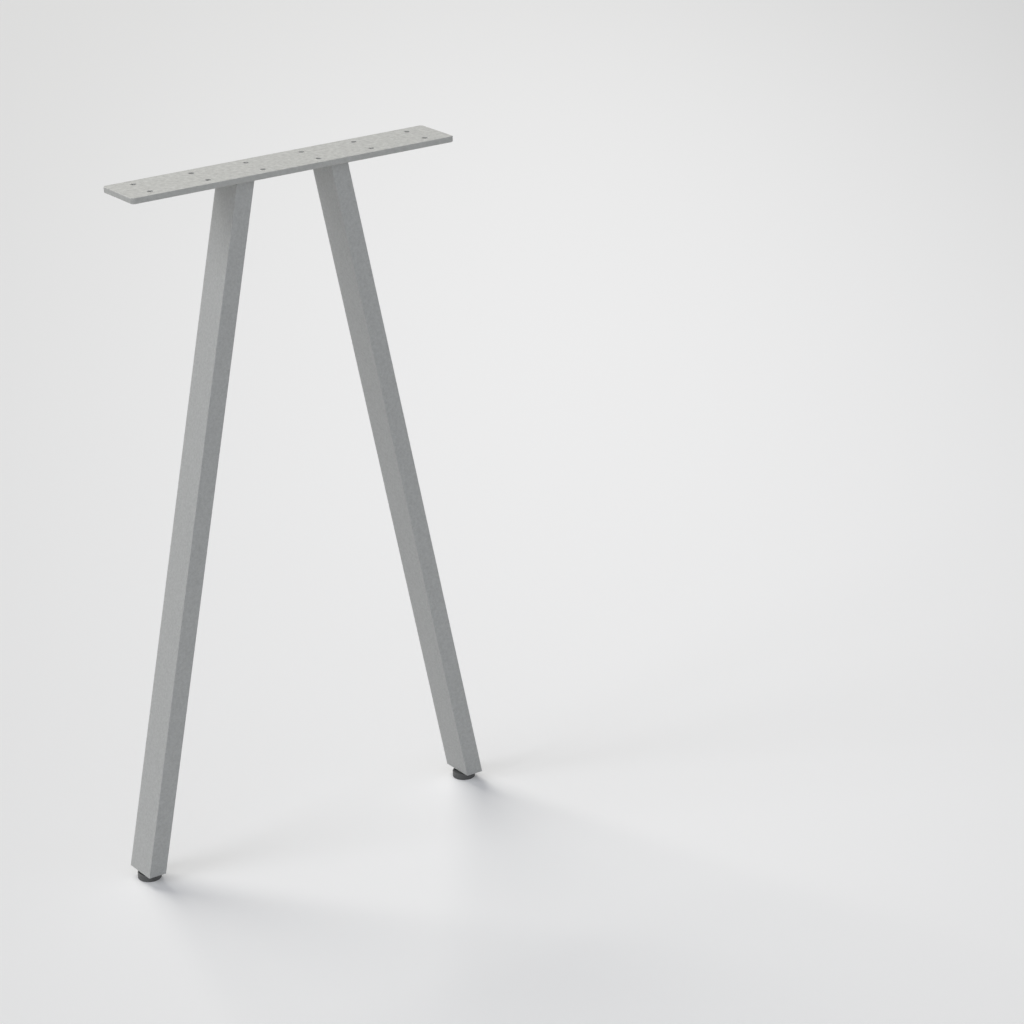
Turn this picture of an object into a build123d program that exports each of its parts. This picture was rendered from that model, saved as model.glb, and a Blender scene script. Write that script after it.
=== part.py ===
from build123d import *
import os
from math import cos, radians, sin, sqrt, tan

# An A shaped steel table leg: two slanted rectangular tubes welded under a drilled flat bar,
# each tube closed by an end plate that carries a screw foot.
# The origin is in the middle of the mounting plate's top face, which goes against the table top.
# X runs along the mounting plate, Y runs across it and Z points up, so the leg hangs below Z 0.

# Whole leg, in millimetres and degrees
overall_height = 745.0
splay_angle = 11.5
leg_spacing_at_plate = 110.0

# Mounting plate
plate_length = 380.0
plate_width = 60.0
plate_thickness = 6.0
plate_corner_radius = 4.0
plate_edge_break = 0.5

# Screw holes in the mounting plate, in two rows of three pairs
screw_hole_diameter = 6.0
screw_pair_spacing = 66.0
screw_pair_pitch = 129.5
screw_pairs_per_row = 3
screw_row_spacing = 33.0
screw_rows = 2

# Rectangular tube, narrow side in the plane of the A
tube_width = 20.0
tube_depth = 40.0
tube_wall = 2.0
tube_corner_radius = 0.6

# Fillet weld that runs round each tube under the plate
weld_leg = 3.5
weld_toe = 0.3

# Plate that closes the bottom of each tube
end_plate_thickness = 3.0
end_plate_hole_clearance = 0.5
end_plate_seam_chamfer = 0.3
end_plate_edge_break = 0.3

# Hexagon nut welded on top of the end plate, inside the tube
thread_diameter = 8.0
thread_clearance = 0.05
nut_across_flats = 13.0
nut_height = 6.5
nut_chamfer = 0.8

# Screw foot
foot_travel = 10.0
foot_stop_gap = 0.1
stud_spare_length = 0.4
stud_tip_chamfer = 1.0
collar_across_flats = 13.0
collar_thickness = 2.2
neck_diameter = 7.0
neck_length = 1.4
button_diameter = 12.0
button_thickness = 2.2
button_edge_break = 0.5
button_clearance = 0.1
base_diameter = 25.0
base_height = 7.2
base_top_break = 0.7
base_sole_break = 0.6
sole_recess_diameter = 17.0
sole_recess_depth = 0.6

# Heights worked out from the sizes above
floor = -overall_height
collar_underside = floor + base_height
collar_top = collar_underside + collar_thickness
tube_end = collar_top + foot_stop_gap
end_plate_top = tube_end + end_plate_thickness
nut_middle = end_plate_top + nut_height / 2
plate_underside = -plate_thickness

# Lengths worked out from the sizes above
slope = tan(radians(splay_angle))
level_tube_width = tube_width / cos(radians(splay_angle))
stud_length = (
    foot_stop_gap + end_plate_thickness + nut_height + foot_travel + stud_spare_length
)
cut_margin = tube_depth

ON_TOP = (Align.CENTER, Align.CENTER, Align.MIN)
HANGING = (Align.CENTER, Align.CENTER, Align.MAX)
SIDES = {"left": -1, "right": 1}


def tube_centre_x(side, z):
    """Where the centre line of a tube passes at height z."""
    return side * (leg_spacing_at_plate / 2 + slope * (plate_underside - z))


def foot_centre_x(side):
    """Each foot stands under the middle of its nut, which is centred in the slanted tube."""
    return tube_centre_x(side, nut_middle)


def between(shape, low, high):
    """The slice of a shape from height low to height high."""
    above_low = split(shape, Plane.XY.offset(low), keep=Keep.TOP)
    return split(above_low, Plane.XY.offset(high), keep=Keep.BOTTOM)


def slanted_bar(side, width, depth, corner_radius, low, high):
    """A bar that follows the slant of a tube, cut level at both ends."""
    lean = radians(splay_angle)
    section_plane = Plane(
        origin=(tube_centre_x(side, high), 0, high),
        x_dir=(cos(lean), 0, side * sin(lean)),
        z_dir=(side * sin(lean), 0, -cos(lean)),
    )
    length = (high - low) / cos(lean)
    section = section_plane.offset(-cut_margin) * RectangleRounded(width, depth, corner_radius)
    bar = extrude(section, amount=length + 2 * cut_margin)
    return between(bar, low, high)


def tube_blank(side, low, high):
    """The outside of a tube as a solid bar."""
    return slanted_bar(side, tube_width, tube_depth, tube_corner_radius, low, high)


def hexagon(across_flats, height):
    """A standing hexagon prism with two flats facing along X."""
    outline = RegularPolygon(
        radius=across_flats / 2, side_count=6, major_radius=False, rotation=30
    )
    return extrude(outline, amount=height)


def make_mounting_plate():
    """Flat bar with rounded corners, broken edges and two rows of screw holes."""
    outline = RectangleRounded(plate_length, plate_width, plate_corner_radius)
    plate = extrude(Plane.XY.offset(plate_underside) * outline, amount=plate_thickness)
    rims = plate.edges().filter_by(Plane.XY)
    plate = chamfer(rims, plate_edge_break)
    hole = Cylinder(screw_hole_diameter / 2, 3 * plate_thickness)
    middle = Pos(0, 0, plate_underside + plate_thickness / 2)
    pairs = GridLocations(screw_pair_pitch, screw_row_spacing, screw_pairs_per_row, screw_rows)
    pair = GridLocations(screw_pair_spacing, 0, 2, 1)
    return plate - [middle * group * place * hole for group in pairs for place in pair]


def make_leg_tube(side):
    """Rectangular tube, cut level against the plate above and the end plate below."""
    bore = slanted_bar(
        side,
        tube_width - 2 * tube_wall,
        tube_depth - 2 * tube_wall,
        max(tube_corner_radius - tube_wall, 0.2 * tube_wall),
        end_plate_top,
        plate_underside,
    )
    return tube_blank(side, end_plate_top, plate_underside) - bore


def make_top_weld(side):
    """Fillet weld round a tube where it meets the underside of the plate."""

    def section(drop, reach):
        z = plate_underside - drop
        outline = Rectangle(level_tube_width + 2 * reach, tube_depth + 2 * reach)
        corner_cut = (2 - sqrt(2)) * (tube_corner_radius + reach)
        outline = chamfer(outline.vertices(), corner_cut)
        return Pos(tube_centre_x(side, z), 0, z) * outline

    bead = loft([section(weld_leg, weld_toe), section(0, weld_leg)], ruled=True)
    return bead - tube_blank(side, plate_underside - 2 * weld_leg, plate_underside)


def make_end_plate(side):
    """Plate welded flush over the tube's end, with a chamfered seam and a hole for the stud."""
    plate = tube_blank(side, tube_end, end_plate_top)
    seam = plate.faces().sort_by(Axis.Z)[-1].outer_wire().edges()
    plate = chamfer(seam, end_plate_seam_chamfer)
    rim = plate.faces().sort_by(Axis.Z)[0].outer_wire().edges()
    plate = chamfer(rim, end_plate_edge_break)
    hole = Cylinder(thread_diameter / 2 + end_plate_hole_clearance, 3 * end_plate_thickness)
    return plate - Pos(foot_centre_x(side), 0, tube_end) * hole


def make_weld_nut(side):
    """Hexagon nut with its top corners chamfered, standing on the end plate inside the tube."""
    across_corners = nut_across_flats * 2 / sqrt(3)
    turned = Cylinder(across_corners / 2, nut_height, align=ON_TOP)
    turned = chamfer(turned.edges().sort_by(Axis.Z)[-1], nut_chamfer)
    bore = Cylinder(thread_diameter / 2 + thread_clearance, nut_height, align=ON_TOP)
    nut = (hexagon(nut_across_flats, nut_height) & turned) - bore
    return Pos(foot_centre_x(side), 0, end_plate_top) * nut


def make_foot_stud(side):
    """Screw stud turned in one piece with its spanner collar, neck and button."""
    thread = Cylinder(thread_diameter / 2, stud_length, align=ON_TOP)
    thread = chamfer(thread.edges().sort_by(Axis.Z)[-1], stud_tip_chamfer)
    neck = Cylinder(neck_diameter / 2, neck_length, align=HANGING)
    button = Cylinder(button_diameter / 2, button_thickness, align=HANGING)
    button = chamfer(button.edges().sort_by(Axis.Z)[0], button_edge_break)
    stud = (
        Pos(0, 0, collar_thickness) * thread
        + hexagon(collar_across_flats, collar_thickness)
        + neck
        + Pos(0, 0, -neck_length) * button
    )
    return Pos(foot_centre_x(side), 0, collar_underside) * stud


def make_foot_base(side):
    """Round moulded base, closed over the stud's button so that the stud can turn in it."""
    base = Cylinder(base_diameter / 2, base_height, align=ON_TOP)
    base = chamfer(base.edges().sort_by(Axis.Z)[-1], base_top_break)
    base = chamfer(base.edges().sort_by(Axis.Z)[0], base_sole_break)
    throat = Cylinder(
        neck_diameter / 2 + button_clearance, neck_length + button_clearance, align=HANGING
    )
    pocket = Cylinder(
        button_diameter / 2 + button_clearance,
        button_thickness + 2 * button_clearance,
        align=HANGING,
    )
    base -= Pos(0, 0, base_height) * throat
    base -= Pos(0, 0, base_height - neck_length + button_clearance) * pocket
    base -= Cylinder(sole_recess_diameter / 2, sole_recess_depth, align=ON_TOP)
    return Pos(foot_centre_x(side), 0, floor) * base


parts = {"mounting_plate": make_mounting_plate()}
for name, side in SIDES.items():
    parts[f"{name}_leg_tube"] = make_leg_tube(side)
    parts[f"{name}_top_weld"] = make_top_weld(side)
    parts[f"{name}_end_plate"] = make_end_plate(side)
    parts[f"{name}_weld_nut"] = make_weld_nut(side)
    parts[f"{name}_foot_stud"] = make_foot_stud(side)
    parts[f"{name}_foot_base"] = make_foot_base(side)

os.makedirs("parts", exist_ok=True)
for node, shape in parts.items():
    export_step(shape, f"parts/{node}.step")
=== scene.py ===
from math import ceil, cos, hypot, pi, radians, sin, sqrt, tan

import bpy
from mathutils import Matrix, Vector, noise


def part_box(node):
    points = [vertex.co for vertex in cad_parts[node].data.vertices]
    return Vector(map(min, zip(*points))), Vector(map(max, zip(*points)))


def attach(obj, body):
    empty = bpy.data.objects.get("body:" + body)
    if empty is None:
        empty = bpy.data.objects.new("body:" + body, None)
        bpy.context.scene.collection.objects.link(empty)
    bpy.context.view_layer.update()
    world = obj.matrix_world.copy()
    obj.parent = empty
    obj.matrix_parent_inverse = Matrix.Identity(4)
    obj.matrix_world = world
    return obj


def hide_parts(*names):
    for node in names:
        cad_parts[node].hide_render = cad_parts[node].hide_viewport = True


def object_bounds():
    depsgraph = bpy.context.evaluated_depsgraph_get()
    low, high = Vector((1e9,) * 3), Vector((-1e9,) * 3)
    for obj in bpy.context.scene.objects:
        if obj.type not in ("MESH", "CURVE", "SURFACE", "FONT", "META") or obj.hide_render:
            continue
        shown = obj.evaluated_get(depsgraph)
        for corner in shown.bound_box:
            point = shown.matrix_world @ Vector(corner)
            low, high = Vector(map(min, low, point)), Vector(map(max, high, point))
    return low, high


# A steel table leg: its materials, the threads of its studs, its weld beads and a pale studio.
# All lengths are in metres, in the frame of the CAD model.

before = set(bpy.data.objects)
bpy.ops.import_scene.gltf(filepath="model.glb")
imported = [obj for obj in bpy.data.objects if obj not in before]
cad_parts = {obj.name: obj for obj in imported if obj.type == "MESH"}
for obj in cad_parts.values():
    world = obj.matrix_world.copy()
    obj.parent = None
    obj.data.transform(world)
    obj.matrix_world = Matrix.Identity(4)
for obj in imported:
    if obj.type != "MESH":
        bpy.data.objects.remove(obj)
cad_low, cad_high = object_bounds()

MM = 0.001
SIDES = {"left": -1, "right": 1}
FLOOR_Z = cad_low.z
WHITE = (1.0, 1.0, 1.0, 1.0)
BLACK = (0.0, 0.0, 0.0, 1.0)

# Node trees

# A noise texture lies mostly between these two values
NOISE_LOW, NOISE_HIGH = 0.3, 0.7


class Tree:
    """Builds a node tree. Each call adds one or more nodes and returns the last one's output."""

    def __init__(self, node_tree):
        self.tree = node_tree
        self.tree.nodes.clear()

    def add(self, kind, output=0, settings=(), **sockets):
        """Adds a node. A socket's name has _ for each space, or it is _ and the socket's number."""
        node = self.tree.nodes.new(kind)
        for name, value in dict(settings).items():
            setattr(node, name, value)
        for name, value in sockets.items():
            key = int(name[1:]) if name[0] == "_" else name.replace("_", " ")
            self.put(node.inputs[key], value)
        return node.outputs[output]

    def put(self, socket, value):
        """Joins another node's output to the socket, or sets the socket's own value."""
        if isinstance(value, bpy.types.NodeSocket):
            self.tree.links.new(value, socket)
        else:
            socket.default_value = value

    def finish(self, kind, shader):
        """Adds the output node that shows the shader."""
        output_node = self.tree.nodes.new(kind)
        self.put(output_node.inputs["Surface"], shader)

    def math(self, operation, first, second=0.0):
        return self.add("ShaderNodeMath", settings={"operation": operation}, _0=first, _1=second)

    def noise(self, position, cells_per_metre, detail, roughness):
        return self.add(
            "ShaderNodeTexNoise",
            Vector=position,
            Scale=cells_per_metre,
            Detail=detail,
            Roughness=roughness,
        )

    def stretched(self, position, scale):
        """The position with each axis scaled. A scale below 1 draws a texture out."""
        return self.add("ShaderNodeMapping", Vector=position, Scale=scale)

    def ramp(self, value, low, high, new_low=0.0, new_high=1.0, smooth=False):
        """Turns low to high into new_low to new_high, and holds the ends."""
        return self.add(
            "ShaderNodeMapRange",
            settings={"interpolation_type": "SMOOTHSTEP" if smooth else "LINEAR"},
            Value=value,
            From_Min=low,
            From_Max=high,
            To_Min=new_low,
            To_Max=new_high,
        )

    def spread(self, texture, low, high):
        """Spreads the usual range of a noise texture over low to high."""
        return self.ramp(texture, NOISE_LOW, NOISE_HIGH, low, high)

    def mix(self, share, first, second):
        """Goes from the first colour to the second, which are the Mix node's sockets 6 and 7."""
        colours = {"data_type": "RGBA"}
        return self.add("ShaderNodeMix", 2, colours, _0=share, _6=first, _7=second)

    def bump(self, height, depth, strength):
        return self.add("ShaderNodeBump", Height=height, Distance=depth, Strength=strength)

    def facing(self, axis):
        """How squarely the surface faces along an axis, either way, from 0 to 1."""
        normal = self.add("ShaderNodeNewGeometry").node.outputs["Normal"]
        shares = self.add("ShaderNodeSeparateXYZ", Vector=normal).node.outputs
        return self.math("ABSOLUTE", shares[axis])

    def seen(self):
        """1 for what the camera, gloss and glass see, and 0 for what lights the object."""
        rays = self.add("ShaderNodeLightPath").node.outputs
        direct = self.math("MAXIMUM", rays["Is Camera Ray"], rays["Is Glossy Ray"])
        return self.math("MAXIMUM", direct, rays["Is Transmission Ray"])


# Materials

# The coat's darkest and palest tones differ from its base colour by this share
TONE_RANGE = 0.3

# The contrast of the coat's fine speckle, as a share of its base colour
SPECKLE = 0.075

# A face that faces along Z by less than the first is upright, and by more than the second level
UPRIGHT_FACE, LEVEL_FACE = 0.3, 0.9

# The mottling's noise lies mostly between these two values
MOTTLE_LOW, MOTTLE_HIGH = 0.25, 0.75


def surface_material(name):
    """A new material with its tree, and the position on the object as a socket."""
    material = bpy.data.materials.new(name)
    material.use_nodes = True
    tree = Tree(material.node_tree)
    position = tree.add("ShaderNodeTexCoord", output="Object")
    return material, tree, position


def finish_material(tree, **sockets):
    """Adds the material's shader with these sockets, and its output."""
    shader = tree.add("ShaderNodeBsdfPrincipled", **sockets)
    tree.finish("ShaderNodeOutputMaterial", shader)


def powder_coat(name, base, mottle_size, level_mottle, upright_mottle, clouds, streaks):
    """Textured powder coat: orange peel, mottling, broad clouds and faint streaks along Z.

    The mottling's size is in metres. Its contrast on level and on upright faces, and those of
    the clouds and streaks, are shares of the base colour.
    """
    material, tree, position = surface_material(name)
    mottle = tree.noise(position, cells_per_metre=1 / mottle_size, detail=3.0, roughness=0.65)
    cloud = tree.noise(position, cells_per_metre=28.0, detail=2.0, roughness=0.5)
    along = tree.stretched(position, scale=(1.0, 1.0, 0.06))
    streak = tree.noise(along, cells_per_metre=260.0, detail=2.0, roughness=0.5)
    peel = tree.noise(position, cells_per_metre=1500.0, detail=2.0, roughness=0.55)
    wave = tree.noise(position, cells_per_metre=380.0, detail=1.0, roughness=0.4)

    level = tree.facing("Z")
    contrast = tree.ramp(level, UPRIGHT_FACE, LEVEL_FACE, upright_mottle, level_mottle)
    tone = tree.ramp(mottle, MOTTLE_LOW, MOTTLE_HIGH, -1.0, 1.0)
    tone = tree.math("MULTIPLY", tone, contrast)
    for texture, reach in ((peel, SPECKLE), (cloud, clouds), (streak, streaks)):
        tone = tree.math("ADD", tone, tree.spread(texture, -reach, reach))
    dark = [part * (1 - TONE_RANGE) for part in base] + [1.0]
    pale = [part * (1 + TONE_RANGE) for part in base] + [1.0]

    wave_share = 1.5
    height = tree.math("ADD", peel, tree.math("MULTIPLY", wave, wave_share))
    finish_material(
        tree,
        Base_Color=tree.mix(tree.ramp(tone, -TONE_RANGE, TONE_RANGE), dark, pale),
        Roughness=tree.spread(cloud, low=0.5, high=0.6),
        Normal=tree.bump(height, depth=0.1 * MM, strength=0.6),
        Metallic=0.0,
    )
    return material


def zinc_plate():
    """Bright zinc plate on turned steel: fine turning marks and a faint change of tone."""
    material, tree, position = surface_material("zinc_plate")
    flattened = tree.stretched(position, scale=(1.0, 1.0, 14.0))
    turning = tree.noise(flattened, cells_per_metre=700.0, detail=3.0, roughness=0.6)
    cloud = tree.noise(position, cells_per_metre=160.0, detail=2.0, roughness=0.5)
    cool, warm = (0.52, 0.53, 0.55, 1.0), (0.68, 0.67, 0.62, 1.0)
    finish_material(
        tree,
        Base_Color=tree.mix(cloud, cool, warm),
        Roughness=tree.spread(turning, low=0.24, high=0.42),
        Normal=tree.bump(turning, depth=0.02 * MM, strength=0.5),
        Metallic=1.0,
    )
    return material


def moulded_nylon():
    """Black moulded nylon with a fine spark-eroded grain."""
    material, tree, position = surface_material("moulded_nylon")
    grain = tree.noise(position, cells_per_metre=1800.0, detail=2.0, roughness=0.6)
    cloud = tree.noise(position, cells_per_metre=120.0, detail=2.0, roughness=0.5)
    dark, pale = (0.090, 0.092, 0.092, 1.0), (0.114, 0.116, 0.116, 1.0)
    finish_material(
        tree,
        Base_Color=tree.mix(cloud, dark, pale),
        Roughness=tree.spread(cloud, low=0.46, high=0.6),
        Normal=tree.bump(grain, depth=0.06 * MM, strength=0.6),
    )
    return material


coat_on_plate = powder_coat(
    "powder_coat_plate",
    # The plate's base is about 3% paler than the same coat on the tubes: painted light, which makes
    # the plate's faces brighter
    base=(0.4955, 0.499, 0.489),
    mottle_size=5.0 * MM,
    level_mottle=0.22,
    upright_mottle=0.09,
    clouds=0.02,
    streaks=0.0,
)
coat_on_tube = powder_coat(
    "powder_coat_tube",
    base=(0.478, 0.484, 0.483),
    mottle_size=2.7 * MM,
    level_mottle=0.12,
    upright_mottle=0.12,
    clouds=0.006,
    streaks=0.007,
)
zinc = zinc_plate()
nylon = moulded_nylon()

# Meshes


def add_to_scene(name, data):
    """A new object in the scene, which shows this mesh, camera or lamp."""
    made = bpy.data.objects.new(name, data)
    bpy.context.scene.collection.objects.link(made)
    return made


def make_object(name, vertices, faces, material, smooth=True):
    """A new mesh object in the scene, with one material."""
    mesh = bpy.data.meshes.new(name)
    mesh.from_pydata(vertices, [], faces)
    mesh.materials.append(material)
    mesh.polygons.foreach_set("use_smooth", [smooth] * len(mesh.polygons))
    mesh.update()
    return add_to_scene(name, mesh)


def grid_faces(rows, columns, wrap_rows=False):
    """Quads between rows of points that each close round on themselves."""
    faces = []
    for row in range(rows if wrap_rows else rows - 1):
        below = row * columns
        above = (row + 1) % rows * columns
        for column in range(columns):
            after = (column + 1) % columns
            faces.append((below + column, below + after, above + after, above + column))
    return faces


def turned_object(name, rows, columns, centre, material):
    """A closed solid turned about the vertical axis through the centre.

    A row is its height above the centre and its radius, both functions of the angle.
    """
    x, y, z = centre
    vertices = []
    for height, radius in rows:
        for column in range(columns):
            angle = 2 * pi * column / columns
            away = radius(angle)
            vertices.append((x + away * cos(angle), y + away * sin(angle), z + height(angle)))
    low_end, high_end = len(vertices), len(vertices) + 1
    for height, _ in (rows[0], rows[-1]):
        vertices.append((x, y, z + height(0)))
    faces = grid_faces(len(rows), columns)
    last_row = (len(rows) - 1) * columns
    for column in range(columns):
        after = (column + 1) % columns
        faces.append((low_end, after, column))
        faces.append((high_end, last_row + column, last_row + after))
    return make_object(name, vertices, faces, material)


# Screw studs

# The sizes are the CAD model's, and heights start at the underside of the button
BUTTON_RADIUS, BUTTON_HEIGHT = 6.0 * MM, 2.2 * MM
BUTTON_LOW_EDGE, BUTTON_TOP_EDGE = 0.5 * MM, 0.1 * MM
NECK_RADIUS, NECK_HEIGHT = 3.5 * MM, 1.4 * MM
COLLAR_HALF_FLATS, COLLAR_HEIGHT = 6.5 * MM, 2.2 * MM
COLLAR_LOW = BUTTON_HEIGHT + NECK_HEIGHT
COLLAR_TOP = COLLAR_LOW + COLLAR_HEIGHT
CHAMFER_RADIUS = 0.97 * COLLAR_HALF_FLATS
CHAMFER_SLOPE = tan(radians(25))

# Right-hand metric thread, with a groove between it and the collar and a chamfered tip
THREAD_PITCH = 1.25 * MM
THREAD_DEPTH = 0.6134 * THREAD_PITCH
THREAD_MAJOR_RADIUS = 3.98 * MM
THREAD_MINOR_RADIUS = THREAD_MAJOR_RADIUS - THREAD_DEPTH
THREAD_GROOVE = 0.8 * MM
THREAD_LOW = COLLAR_TOP + THREAD_GROOVE
TIP_CHAMFER = 1.0 * MM

# From the middle of a crest to the middle of a root, the flank lies between these shares
CREST_END, ROOT_START = 0.125, 0.78

STUD_COLUMNS = 72
ROWS_PER_PITCH = 12
STUD_SHARP_ANGLE = radians(32)


def clamped(share):
    return min(max(share, 0.0), 1.0)


def steady(value):
    """A function of the angle that always gives the same value."""
    return lambda angle: value


def hexagon(angle):
    """The radius of the collar's hexagon at an angle."""
    from_flat = (angle + pi / 6) % (pi / 3) - pi / 6
    return COLLAR_HALF_FLATS / cos(from_flat)


def chamfer_drop(angle):
    """How far the collar's chamfer falls on its way out to the hexagon."""
    return (hexagon(angle) - CHAMFER_RADIUS) * CHAMFER_SLOPE


def button_and_collar_rows():
    """The stud from its button to the groove, with the collar's corners chamfered on both sides."""
    return [
        (steady(0.0), steady(BUTTON_RADIUS - BUTTON_LOW_EDGE)),
        (steady(BUTTON_LOW_EDGE), steady(BUTTON_RADIUS)),
        (steady(BUTTON_HEIGHT - BUTTON_TOP_EDGE), steady(BUTTON_RADIUS)),
        (steady(BUTTON_HEIGHT), steady(BUTTON_RADIUS - BUTTON_TOP_EDGE)),
        (steady(BUTTON_HEIGHT), steady(NECK_RADIUS)),
        (steady(COLLAR_LOW), steady(NECK_RADIUS)),
        (steady(COLLAR_LOW), steady(CHAMFER_RADIUS)),
        (lambda angle: COLLAR_LOW + chamfer_drop(angle), hexagon),
        (lambda angle: COLLAR_TOP - chamfer_drop(angle), hexagon),
        (steady(COLLAR_TOP), steady(CHAMFER_RADIUS)),
        (steady(COLLAR_TOP), steady(THREAD_MINOR_RADIUS)),
    ]


def depth_below_crest(turns):
    """From 0 on the crest to 1 on the root, where turns counts pitches along the thread."""
    from_crest = abs(turns % 1.0 - 0.5) * 2
    return clamped((from_crest - CREST_END) / (ROOT_START - CREST_END))


def thread_radius(z, top):
    """The thread's radius at height z, as a function of the angle."""
    run_out = clamped((z - THREAD_LOW) / THREAD_PITCH)
    tip_radius = THREAD_MAJOR_RADIUS - max(z - (top - TIP_CHAMFER), 0.0)

    def radius(angle):
        depth = THREAD_DEPTH * depth_below_crest(z / THREAD_PITCH - angle / (2 * pi))
        return min(THREAD_MINOR_RADIUS + (THREAD_DEPTH - depth) * run_out, tip_radius)

    return radius


def thread_rows(top):
    """The thread, from its run-out to the tip at the stud's top."""
    length = top - THREAD_LOW
    steps = ceil(length / THREAD_PITCH * ROWS_PER_PITCH)
    heights = [THREAD_LOW + length * step / steps for step in range(steps + 1)]
    return [(steady(z), thread_radius(z, top)) for z in heights]


def make_stud(side_name):
    """The stud in one piece: button, neck, hexagon collar and thread."""
    low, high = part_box(f"{side_name}_foot_stud")
    centre = ((low.x + high.x) / 2, (low.y + high.y) / 2, low.z)
    rows = button_and_collar_rows() + thread_rows(high.z - low.z)
    stud = turned_object(f"{side_name}_stud_thread", rows, STUD_COLUMNS, centre, zinc)
    stud.data.set_sharp_from_angle(angle=STUD_SHARP_ANGLE)
    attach(stud, f"{side_name}_stud")
    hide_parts(f"{side_name}_foot_stud")


# Weld beads

SPLAY_ANGLE = radians(11.5)
TUBE_SLOPE = tan(SPLAY_ANGLE)
TUBE_CORNER_RADIUS = 0.6 * MM
CORNER_STEPS = 6
BEAD_STEP = 0.22 * MM
PROFILE_STEPS = 10

# How far a bead reaches along the plate and the tube, how much that wanders, and how high its
# middle and its ripples stand, all as shares of the weld's leg
PLATE_REACH, PLATE_REACH_WANDER = 0.93, 0.06
TUBE_REACH, TUBE_REACH_WANDER = 0.9, 0.08
BEAD_CROWN, RIPPLE_HEIGHT = 0.04, 0.15

# Ripples lag at both edges of the bead and are spaced unevenly, both in shares of their pitch
RIPPLE_PITCH = 1.9 * MM
RIPPLE_LAG, RIPPLE_WANDER = 0.45, 0.35

# How fast the bead wanders, in noise cells per metre, and where in the noise each wander starts
WANDER_PACE = 160
SIDE_START = 7.3
TUBE_REACH_START = Vector((0, 50, 0))
RIPPLE_START = Vector((0, 9, 0))

# How far the bead goes into the tube's wall, so that no gap shows
BEAD_ROOT = 0.3 * MM


def rounded_rectangle(width, depth):
    """Points round the tube as x, y and the angle of the way outward."""
    half_x, half_y = width / 2 - TUBE_CORNER_RADIUS, depth / 2 - TUBE_CORNER_RADIUS
    corners = [(half_x, half_y), (-half_x, half_y), (-half_x, -half_y), (half_x, -half_y)]
    middles = []
    for index, (x, y) in enumerate(corners):
        for step in range(CORNER_STEPS):
            middles.append((x, y, (index + step / CORNER_STEPS) * pi / 2))
        next_x, next_y = corners[(index + 1) % len(corners)]
        steps = ceil(hypot(next_x - x, next_y - y) / BEAD_STEP)
        for step in range(steps):
            share = step / steps
            place = (x + (next_x - x) * share, y + (next_y - y) * share)
            middles.append((*place, (index + 1) * pi / 2))
    return [
        (x + TUBE_CORNER_RADIUS * cos(angle), y + TUBE_CORNER_RADIUS * sin(angle), angle)
        for x, y, angle in middles
    ]


def bead_profile(leg, side, travelled):
    """How far out and how far down the bead's surface lies, from the plate to the tube."""
    wander = Vector((travelled * WANDER_PACE, side * SIDE_START, 0))
    plate_reach = PLATE_REACH + PLATE_REACH_WANDER * noise.noise(wander)
    tube_reach = TUBE_REACH + TUBE_REACH_WANDER * noise.noise(wander + TUBE_REACH_START)
    uneven = RIPPLE_WANDER * noise.noise(wander + RIPPLE_START)
    profile = []
    for step in range(PROFILE_STEPS + 1):
        share = step / PROFILE_STEPS
        lag = RIPPLE_LAG * (2 * share - 1) ** 2
        ripple = abs(sin(pi * (travelled / RIPPLE_PITCH + lag + uneven)))
        lift = sin(pi * share) * (BEAD_CROWN + RIPPLE_HEIGHT * ripple) * sqrt(0.5)
        away = leg * (plate_reach * (1 - share) + lift)
        down = leg * (tube_reach * share + lift)
        profile.append((away, down))
    return profile


def make_weld(side_name, side):
    """A fillet weld bead with ripples, run round the tube under the plate."""
    low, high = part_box(f"{side_name}_top_weld")
    leg = high.z - low.z
    centre = Vector(((low.x + high.x) / 2, (low.y + high.y) / 2, high.z))
    path = rounded_rectangle(high.x - low.x - 2 * leg, high.y - low.y - 2 * leg)
    vertices = []
    travelled = 0.0
    last_x, last_y, _ = path[0]
    for x, y, angle in path:
        travelled += hypot(x - last_x, y - last_y)
        last_x, last_y = x, y
        point = centre + Vector((x, y, 0))
        outward = Vector((cos(angle), sin(angle), 0))
        for away, down in bead_profile(leg, side, travelled):
            vertices.append(point + outward * away + Vector((side * TUBE_SLOPE * down, 0, -down)))
        vertices.append(point - outward * BEAD_ROOT)
    faces = grid_faces(len(path), PROFILE_STEPS + 2, wrap_rows=True)
    bead = make_object(f"{side_name}_weld_bead", vertices, faces, coat_on_tube)
    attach(bead, "frame")
    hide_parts(f"{side_name}_top_weld")


for side_name, side in SIDES.items():
    make_stud(side_name)
    make_weld(side_name, side)

# CAD nodes


def material_of(node_name):
    """The material that a CAD node is made of."""
    if node_name == "mounting_plate":
        return coat_on_plate
    if node_name.endswith("foot_base"):
        return nylon
    if node_name.endswith(("foot_stud", "weld_nut")):
        return zinc
    return coat_on_tube


for node_name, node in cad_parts.items():
    node.data.materials.clear()
    node.data.materials.append(material_of(node_name))

# Camera

# Fitted to the leg's edges in the photo. The distance is measured along the line of sight.
CAMERA_AZIMUTH = radians(-35.208)
CAMERA_ELEVATION = radians(21.017)
CAMERA_ROLL = radians(-1.093)
CAMERA_DISTANCE = 3.3035
FARTHEST_SEEN = 100.0
ORIGIN_PIXEL = (282.364, 160.502)
FOCAL_LENGTH_PIXELS = 3275.5
PICTURE_PIXELS = 1024
SENSOR_MM = 36.0


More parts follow.
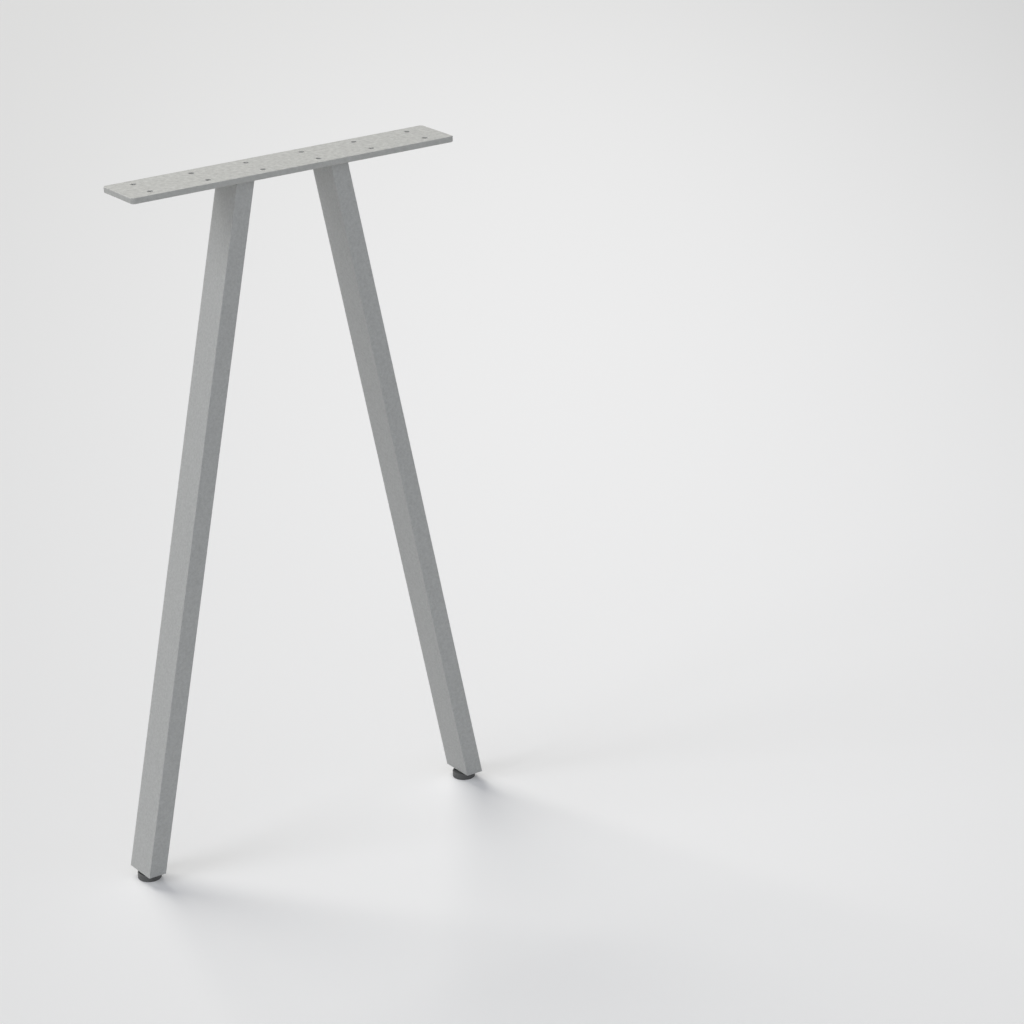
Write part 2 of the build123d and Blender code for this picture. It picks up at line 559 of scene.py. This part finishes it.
def make_camera():
    """A camera that looks along the photo's direction and sees the origin at its pixel."""
    back = Vector(
        (
            sin(CAMERA_AZIMUTH) * cos(CAMERA_ELEVATION),
            -cos(CAMERA_AZIMUTH) * cos(CAMERA_ELEVATION),
            sin(CAMERA_ELEVATION),
        )
    )
    level = Vector((cos(CAMERA_AZIMUTH), sin(CAMERA_AZIMUTH), 0))
    upright = back.cross(level)
    right = level * cos(CAMERA_ROLL) + upright * sin(CAMERA_ROLL)
    up = upright * cos(CAMERA_ROLL) - level * sin(CAMERA_ROLL)
    metres_per_pixel = CAMERA_DISTANCE / FOCAL_LENGTH_PIXELS
    origin_x, origin_y = [(pixel - PICTURE_PIXELS / 2) * metres_per_pixel for pixel in ORIGIN_PIXEL]
    place = back * CAMERA_DISTANCE - right * origin_x + up * origin_y

    data = bpy.data.cameras.new("camera")
    data.sensor_width = SENSOR_MM
    data.lens = FOCAL_LENGTH_PIXELS / PICTURE_PIXELS * SENSOR_MM
    data.clip_end = FARTHEST_SEEN
    camera = add_to_scene("camera", data)
    turn = Matrix((right, up, back)).transposed()
    camera.matrix_world = Matrix.Translation(place) @ turn.to_4x4()
    bpy.context.scene.camera = camera


make_camera()

# Floor

# It is in two halves, and each rides on a foot, so that both feet stand on it in every pose
FLOOR_HALF, FLOOR_DEPTH = 14.0, 0.05

# The floor's tone in the light that it gives the object, and its glow for the camera
FLOOR_TONE = (0.61, 0.61, 0.61, 1.0)
FLOOR_GLOW = 0.128

# How bright the step between the two halves looks, when one foot is screwed out
STEP_GLOW = 0.775

# The painted pool of light on the floor round the leg: its middle, half widths and turn about Z
POOL_MIDDLE, POOL_SIZE, POOL_TURN = (0.641, 0.167, FLOOR_Z), (1.25, 4.24, 1.0), radians(-35.2)
PAINTED_POOL_INSIDE = (0.847, 0.850, 0.876, 1.0)
PAINTED_POOL_OUTSIDE = (0.533, 0.536, 0.550, 1.0)

# Far from the leg, the camera and gloss see the floor turn into the backdrop
FAR_MIDDLE, FAR_START, FAR_END = (1.2, 1.7, FLOOR_Z), 2.65, 5.2
BACKDROP_STRENGTH = 0.8


def painted_pool_share(tree, position):
    """Goes softly from 1 in the middle of the painted pool of light to 0 far outside it."""
    pool = tree.add(
        "ShaderNodeMapping",
        settings={"vector_type": "TEXTURE"},
        Vector=position,
        Location=POOL_MIDDLE,
        Rotation=(0, 0, POOL_TURN),
        Scale=POOL_SIZE,
    )
    lengths = {"operation": "LENGTH"}
    away = tree.add("ShaderNodeVectorMath", "Value", lengths, _0=pool)
    squared = tree.math("MULTIPLY", away, away)
    return tree.math("EXPONENT", tree.math("MULTIPLY", squared, -1.0))


def far_share(tree, position):
    """Goes from 0 near the leg to 1 where the floor is seen as the backdrop."""
    distances = {"operation": "DISTANCE"}
    away = tree.add("ShaderNodeVectorMath", "Value", distances, _0=position, _1=FAR_MIDDLE)
    return tree.ramp(away, FAR_START, FAR_END, smooth=True)


def floor_material():
    """Pale matt studio floor. The camera and gloss see it paler, with a painted pool of light round
    the leg.
    """
    material, tree, position = surface_material("studio_floor")
    seen = tree.seen()
    far = far_share(tree, position)
    step = tree.facing("X")
    glow = tree.ramp(far, 0.0, 1.0, FLOOR_GLOW, BACKDROP_STRENGTH)
    glow = tree.math("MAXIMUM", glow, tree.math("MULTIPLY", step, STEP_GLOW))
    # The camera and gloss see a painted pool of light: the floor's colour is paler round the leg
    pale = tree.mix(painted_pool_share(tree, position), PAINTED_POOL_OUTSIDE, PAINTED_POOL_INSIDE)
    pale = tree.mix(tree.math("MAXIMUM", far, step), pale, BLACK)
    finish_material(
        tree,
        Base_Color=tree.mix(seen, FLOOR_TONE, pale),
        Roughness=0.9,
        Specular_IOR_Level=0.0,
        Emission_Color=WHITE,
        Emission_Strength=tree.math("MULTIPLY", seen, glow),
    )
    return material


def make_floor_half(side_name, side, material):
    """The floor under one foot, with the upright face that shows where the halves part."""
    edge, deep = side * FLOOR_HALF, FLOOR_Z - FLOOR_DEPTH
    corners = [
        (0, -FLOOR_HALF, FLOOR_Z),
        (edge, -FLOOR_HALF, FLOOR_Z),
        (edge, FLOOR_HALF, FLOOR_Z),
        (0, FLOOR_HALF, FLOOR_Z),
        (0, -FLOOR_HALF, deep),
        (0, FLOOR_HALF, deep),
    ]
    faces = [(0, 1, 2, 3), (0, 3, 5, 4)]
    half = make_object(f"floor_{side_name}", corners, faces, material, smooth=False)
    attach(half, f"{side_name}_base")


studio_floor = floor_material()
for side_name, side in SIDES.items():
    make_floor_half(side_name, side, studio_floor)

# Studio light

# The soft light of the studio's left and front walls
LEFT_WALL, LEFT_TINT = 0.52, (0.99, 1.0, 1.017, 1.0)
FRONT_WALL, FRONT_TINT = 0.735, (0.955, 0.995, 1.04, 1.0)

# What both lamps are aimed at
LAMP_AIM = Vector((0, 0, -0.4))


def make_world():
    """Walls that light the object. The camera, gloss and glass see a white backdrop instead."""
    world = bpy.data.worlds.new("studio")
    bpy.context.scene.world = world
    world.use_nodes = True
    tree = Tree(world.node_tree)
    direction = tree.add("ShaderNodeTexCoord", output="Generated")
    shares = tree.add("ShaderNodeSeparateXYZ", Vector=direction).node.outputs

    def wall(axis, strength, tint):
        """Light that grows from nothing overhead to its full strength at the wall's middle."""
        share = tree.math("MULTIPLY", shares[axis], -strength)
        share = tree.math("MAXIMUM", share, 0.0)
        return tree.add("ShaderNodeBackground", Color=tint, Strength=share)

    left, front = wall("X", LEFT_WALL, LEFT_TINT), wall("Y", FRONT_WALL, FRONT_TINT)
    walls = tree.add("ShaderNodeAddShader", _0=left, _1=front)
    backdrop = tree.add("ShaderNodeBackground", Color=WHITE, Strength=BACKDROP_STRENGTH)
    both = tree.add("ShaderNodeMixShader", _0=tree.seen(), _1=walls, _2=backdrop)
    tree.finish("ShaderNodeOutputWorld", both)


def area_lamp(name, place, diameter, power, colour):
    """A round lamp that the camera doesn't see."""
    data = bpy.data.lights.new(name, "AREA")
    data.shape = "DISK"
    data.size = diameter
    data.energy = power
    data.color = colour
    lamp = add_to_scene(name, data)
    lamp.visible_camera = False
    lamp.location = place
    lamp.rotation_mode = "QUATERNION"
    lamp.rotation_quaternion = (LAMP_AIM - Vector(place)).to_track_quat("-Z", "Y")


make_world()
area_lamp(
    "key_from_behind",
    place=(0, 11.3, 10.9),
    diameter=11.0,
    power=1870.0,
    colour=(1.0, 0.98, 0.915),
)
area_lamp(
    "fill_from_left",
    place=(-13.1, 1.64, 8.6),
    diameter=9.0,
    power=500.0,
    colour=(0.99, 1.0, 1.015),
)

bpy.context.scene.view_settings.view_transform = "Standard"
